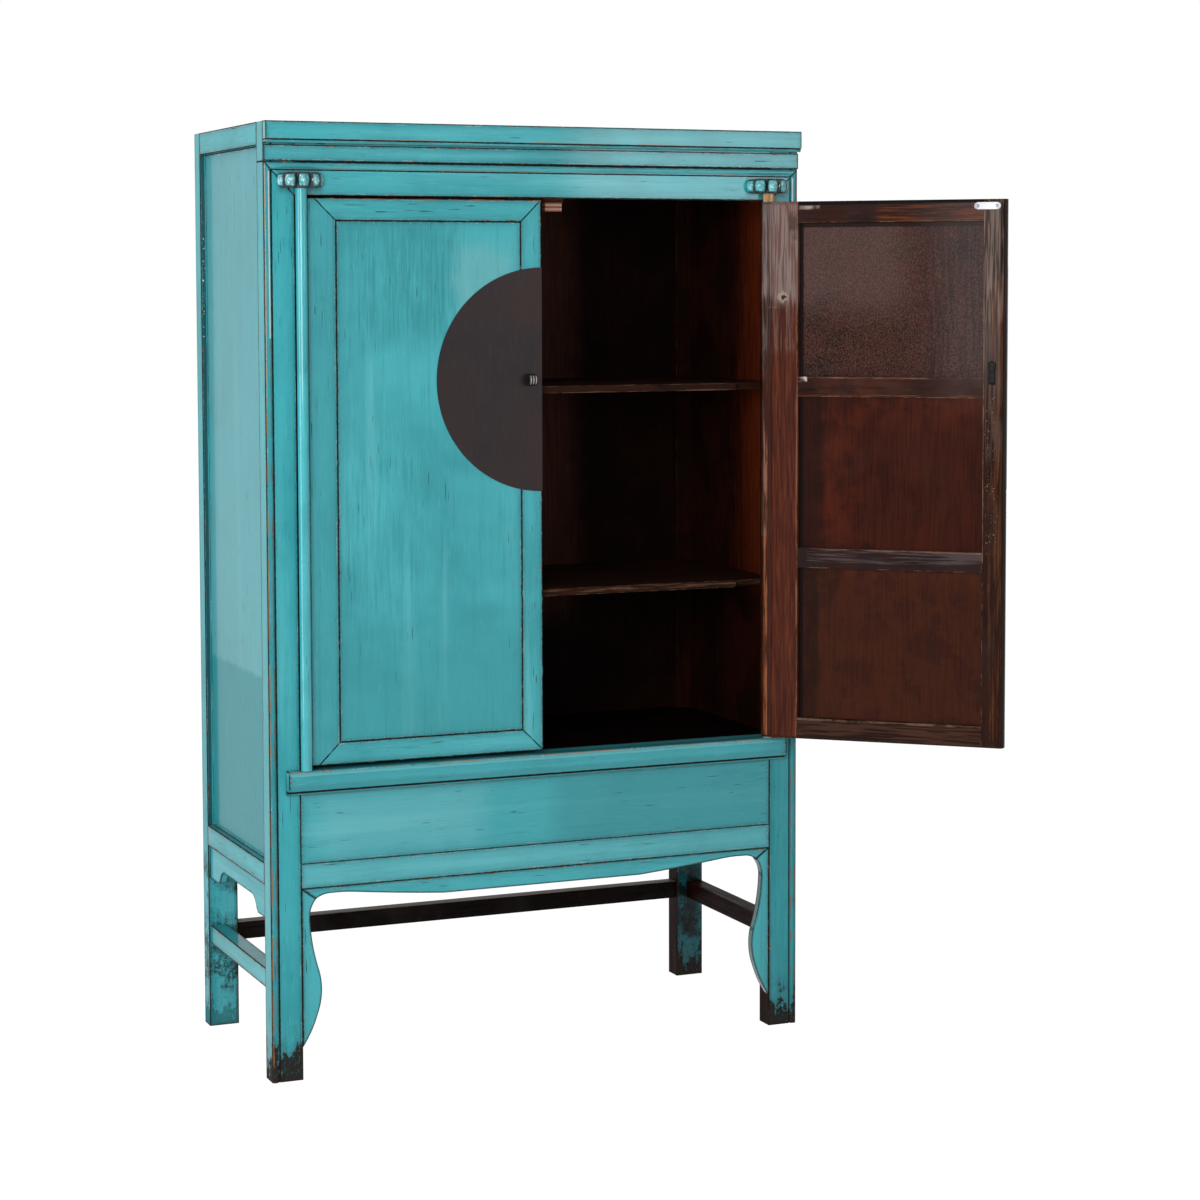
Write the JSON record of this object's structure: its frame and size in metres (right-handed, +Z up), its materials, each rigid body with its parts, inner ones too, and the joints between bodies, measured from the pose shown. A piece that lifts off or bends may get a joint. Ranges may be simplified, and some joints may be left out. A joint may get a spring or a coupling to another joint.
{
  "type": "wedding cabinet",
  "caption": "Tall lacquered cabinet on legs with hinged doors on wooden pivot posts, a round lock plate, inner shelves and a cusped apron.",
  "frame": {"origin": "on the floor, at the centre of the footprint of the posts", "axes": "+X to the right of someone facing the doors, -Y towards the front, +Z up"},
  "size_m": [1.3844, 0.8449, 1.8],
  "materials": {
    "lacquered_wood": "gloss",
    "inner_wood": "satin",
    "dark_metal": "satin",
    "strike_metal": "satin",
    "catch": "satin"
  },
  "bodies": {
    "cabinet": {"back_panel": "inner_wood", "base_board": "inner_wood", "cornice_cap": "lacquered_wood", "cornice_frieze": "lacquered_wood", "floor_board": "inner_wood", "front_left_post": "lacquered_wood", "front_right_post": "lacquered_wood", "head_rail": "lacquered_wood", "left_leg_bracket": "lacquered_wood", "left_lower_rail": "lacquered_wood", "left_magnetic_catch": "catch", "left_pivot_bracket": "lacquered_wood", "left_side_apron": "lacquered_wood", "left_side_panel": "lacquered_wood", "left_side_stretcher": "lacquered_wood", "left_top_rail": "lacquered_wood", "lower_front_panel": "lacquered_wood", "lower_front_rail": "lacquered_wood", "lower_rear_rail": "lacquered_wood", "lower_shelf": "inner_wood", "rear_left_post": "lacquered_wood", "rear_right_post": "lacquered_wood", "rear_stretcher": "lacquered_wood", "right_leg_bracket": "lacquered_wood", "right_lower_rail": "lacquered_wood", "right_magnetic_catch": "catch", "right_pivot_bracket": "lacquered_wood", "right_side_apron": "lacquered_wood", "right_side_panel": "lacquered_wood", "right_side_stretcher": "lacquered_wood", "right_top_rail": "lacquered_wood", "shaped_apron": "lacquered_wood", "sill_moulding": "lacquered_wood", "sill_rail": "lacquered_wood", "top_board": "inner_wood", "top_rear_rail": "lacquered_wood", "upper_front_rail": "lacquered_wood", "upper_shelf": "inner_wood"},
    "left_door": {"left_door_bottom_rail": "lacquered_wood", "left_door_hinge_stile": "lacquered_wood", "left_door_lock_staple": "dark_metal", "left_door_lower_batten": "inner_wood", "left_door_meeting_stile": "lacquered_wood", "left_door_moon_plate": "dark_metal", "left_door_panel": "lacquered_wood", "left_door_pivot_post": "lacquered_wood", "left_door_strike_plate": "strike_metal", "left_door_top_rail": "lacquered_wood", "left_door_upper_batten": "inner_wood"},
    "right_door": {"right_door_bottom_rail": "lacquered_wood", "right_door_hinge_stile": "lacquered_wood", "right_door_lock_staple": "dark_metal", "right_door_lower_batten": "inner_wood", "right_door_meeting_stile": "lacquered_wood", "right_door_moon_plate": "dark_metal", "right_door_panel": "lacquered_wood", "right_door_pivot_post": "lacquered_wood", "right_door_strike_plate": "strike_metal", "right_door_top_rail": "lacquered_wood", "right_door_upper_batten": "inner_wood"}
  },
  "joints": [
    {"name": "left_door_hinge", "type": "hinge", "parent": "cabinet", "child": "left_door", "pos_m": [-0.481, -0.258, 1.13], "axis": [0, 0, -1], "range_deg": [0, 180]},
    {"name": "right_door_hinge", "type": "hinge", "parent": "cabinet", "child": "right_door", "pos_m": [0.481, -0.258, 1.13], "axis": [0, 0, 1], "range_deg": [-138, 42]}
  ]
}
